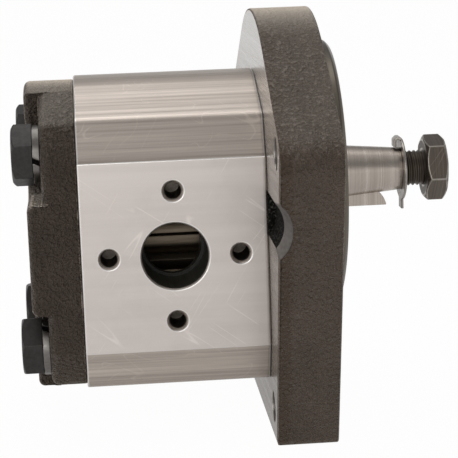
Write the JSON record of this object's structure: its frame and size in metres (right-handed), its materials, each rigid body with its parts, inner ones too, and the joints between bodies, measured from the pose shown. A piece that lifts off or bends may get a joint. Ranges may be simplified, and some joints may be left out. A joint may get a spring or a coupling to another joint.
{
  "type": "hydraulic pump",
  "caption": "Flanged hydraulic gear pump with side ports and a tapered, keyed drive shaft with nut.",
  "frame": {"origin": "drive shaft's axis in the mounting face of the flange", "axes": "+X out along the drive shaft, -Y the inlet side, +Z from the driven gear to the drive gear"},
  "size_m": [0.1375, 0.1524, 0.1287],
  "materials": {
    "cast_flange": "rough dark casting with machined faces",
    "cast_cover": "rough dark casting with machined faces",
    "extruded_body": "satin extrusion with fine lines along the shafts",
    "black_screws": "blackened high-strength steel",
    "zinc_washers": "bright zinc plate",
    "ground_steel": "ground steel",
    "spring_steel": "dark spring steel",
    "block_aluminium": "machined aluminium",
    "bush_bronze": "lined bearing bronze",
    "seal_rubber": "black oil-resistant rubber",
    "backup_plastic": "hard white backup plastic",
    "washer_steel": "pale plated sheet steel",
    "nut_steel": "worn turned steel"
  },
  "bodies": {
    "housing": {"flange": "cast_flange", "pump_body": "extruded_body", "rear_cover": "cast_cover", "cover_screws": "black_screws", "lock_washers": "zinc_washers", "front_dowels": "ground_steel", "rear_dowels": "ground_steel", "front_bearing_block": "block_aluminium", "rear_bearing_block": "block_aluminium", "drive_front_bush": "bush_bronze", "drive_rear_bush": "bush_bronze", "driven_front_bush": "bush_bronze", "driven_rear_bush": "bush_bronze", "front_pressure_seal": "seal_rubber", "front_backup_ring": "backup_plastic", "rear_pressure_seal": "seal_rubber", "rear_backup_ring": "backup_plastic", "front_body_seal": "seal_rubber", "rear_body_seal": "seal_rubber", "inner_shaft_seal": "seal_rubber", "outer_shaft_seal": "seal_rubber", "garter_springs": "ground_steel", "seal_spacer": "ground_steel", "seal_circlip": "spring_steel"},
    "drive_shaft": {"drive_gear_shaft": "ground_steel", "half_round_key": "ground_steel", "tab_washer": "washer_steel", "shaft_nut": "nut_steel"},
    "driven_shaft": {"driven_gear_shaft": "ground_steel"}
  },
  "joints": [
    {"name": "drive_spin", "type": "hinge", "parent": "housing", "child": "drive_shaft", "pos_m": [0, 0, 0], "axis": [1, 0, 0], "continuous": true},
    {"name": "driven_spin", "type": "hinge", "parent": "housing", "child": "driven_shaft", "pos_m": [0, 0, -0.0345], "axis": [1, 0, 0], "continuous": true}
  ],
  "couplings": [
    {"joint": "driven_spin", "follows": "drive_spin", "ratio": -1}
  ]
}
